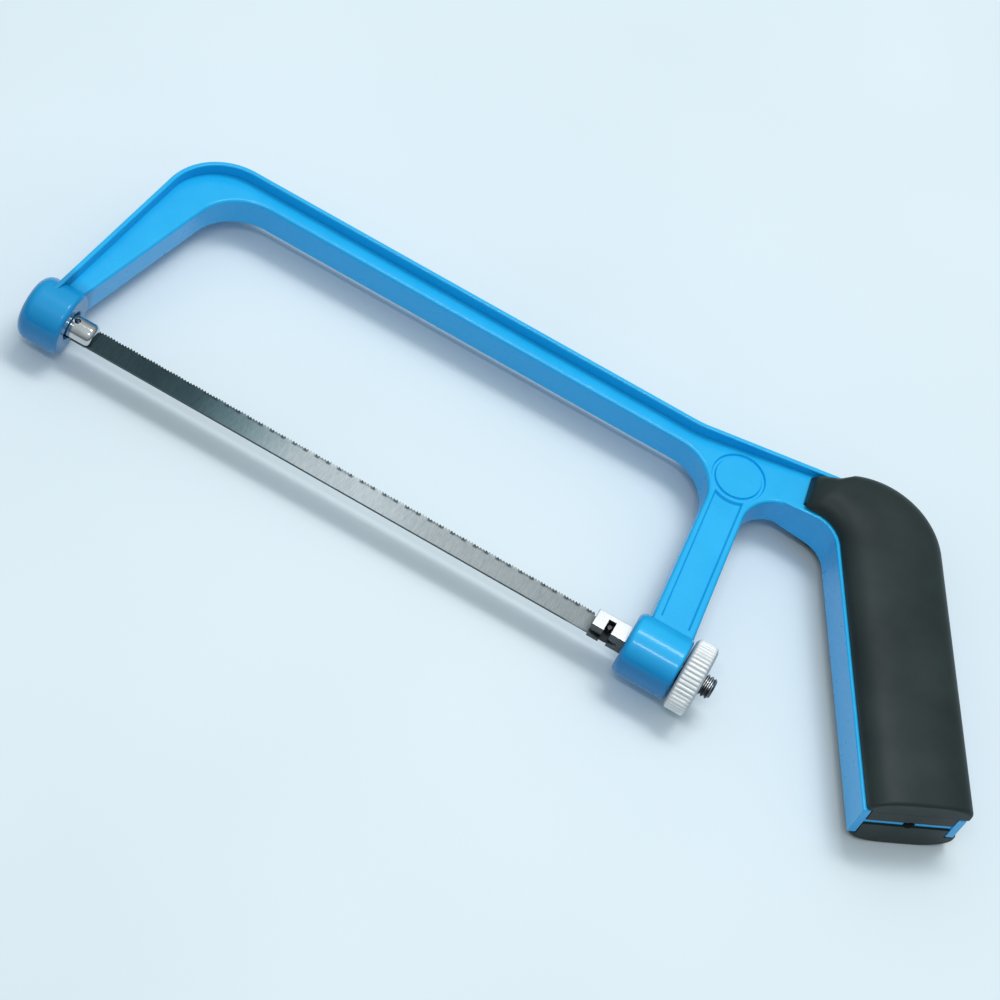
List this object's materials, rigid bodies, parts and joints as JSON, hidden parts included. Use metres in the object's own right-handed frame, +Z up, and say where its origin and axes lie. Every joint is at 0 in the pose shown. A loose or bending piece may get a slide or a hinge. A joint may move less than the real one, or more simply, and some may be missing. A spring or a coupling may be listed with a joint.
{
  "type": "hacksaw",
  "caption": "Small junior hacksaw: blue one-piece cast pistol-grip frame, pin-end blade in slotted holders, knurled tension nut, black two-part grip.",
  "frame": {"origin": "centre of the bounding box's bottom face, with the saw lying on its side", "axes": "+X from the toe along the blade towards the handle, +Y from the blade to the frame's back, +Z up through the thickness"},
  "size_m": [0.2536, 0.0854, 0.021],
  "materials": {
    "blue_paint": "glossy light-blue paint on an aluminium casting",
    "chrome": "bright chromed steel",
    "blade_steel": "grey blade steel with a dark oxide tint",
    "pin_steel": "plain drawn steel pin",
    "nut_aluminium": "pale satin metal, straight knurl",
    "grip_plastic": "satin black moulded plastic",
    "screw_steel": "zinc-plated steel"
  },
  "bodies": {
    "frame_body": {"frame": "blue_paint", "front_stud": "chrome", "grip_upper": "grip_plastic", "grip_lower": "grip_plastic", "grip_screw_top": "screw_steel", "grip_screw_end": "screw_steel"},
    "bolt_body": {"tension_bolt": "chrome"},
    "nut_body": {"thumb_nut": "nut_aluminium"},
    "blade_body": {"blade": "blade_steel", "blade_pin_front": "pin_steel", "blade_pin_rear": "pin_steel"}
  },
  "joints": [
    {"name": "nut_spin", "type": "hinge", "parent": "frame_body", "child": "nut_body", "pos_m": [0.05416, -0.03058, 0.0105], "axis": [1, 0, 0], "range_deg": [0, 540]},
    {"name": "bolt_slide", "type": "slide", "parent": "frame_body", "child": "bolt_body", "axis": [-1, 0, 0], "range_m": [0, 0.0015]},
    {"name": "blade_swing", "type": "hinge", "parent": "bolt_body", "child": "blade_body", "pos_m": [-0.11417, -0.03058, 0.0099], "axis": [0, 0, -1], "range_deg": [0, 20]}
  ],
  "couplings": [
    {"joint": "bolt_slide", "follows": "nut_spin", "m_per_rad": 0.00015915}
  ]
}
